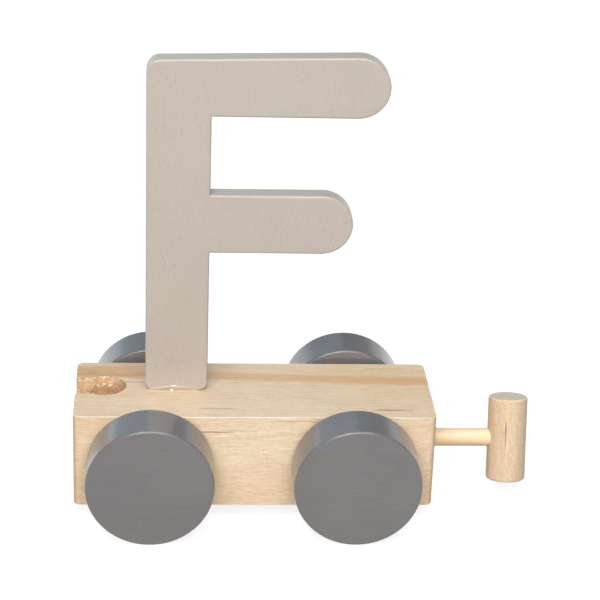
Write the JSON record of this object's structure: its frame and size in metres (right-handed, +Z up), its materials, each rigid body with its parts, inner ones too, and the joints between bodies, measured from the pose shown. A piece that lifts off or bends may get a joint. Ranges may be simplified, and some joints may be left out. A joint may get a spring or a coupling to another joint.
{
  "type": "letter train car",
  "caption": "Wooden toy train car: a block on wheels that carries a standing letter, with a peg coupler at one end and a keyhole socket for the next car's peg at the other.",
  "frame": {"origin": "on the ground, below the middle of the car's overall length and width", "axes": "+Z up, +X towards the coupler end, -Y towards the side that the letter is read from"},
  "size_m": [0.0878, 0.044, 0.0878],
  "materials": {
    "natural_wood": "sanded pale softwood with a thin clear satin finish",
    "letter_paint": "satin greige paint over open-pored wood",
    "wheel_paint": "satin mid-grey paint",
    "pale_dowel": "plain pale dowel",
    "peg_wood": "plain dowel with bare end grain"
  },
  "bodies": {
    "car": {"body_block": "natural_wood", "letter": "letter_paint", "letter_pin": "pale_dowel", "coupler_shaft": "pale_dowel", "coupler_peg": "peg_wood"},
    "front_wheelset": {"front_axle": "pale_dowel", "front_left_wheel": "wheel_paint", "front_right_wheel": "wheel_paint"},
    "rear_wheelset": {"rear_axle": "pale_dowel", "rear_left_wheel": "wheel_paint", "rear_right_wheel": "wheel_paint"}
  },
  "joints": [
    {"name": "front_axle_spin", "type": "hinge", "parent": "car", "child": "front_wheelset", "pos_m": [0.00895, 0, 0.0119], "axis": [0, 1, 0], "continuous": true},
    {"name": "rear_axle_spin", "type": "hinge", "parent": "car", "child": "rear_wheelset", "pos_m": [-0.02945, 0, 0.0119], "axis": [0, 1, 0], "continuous": true}
  ]
}
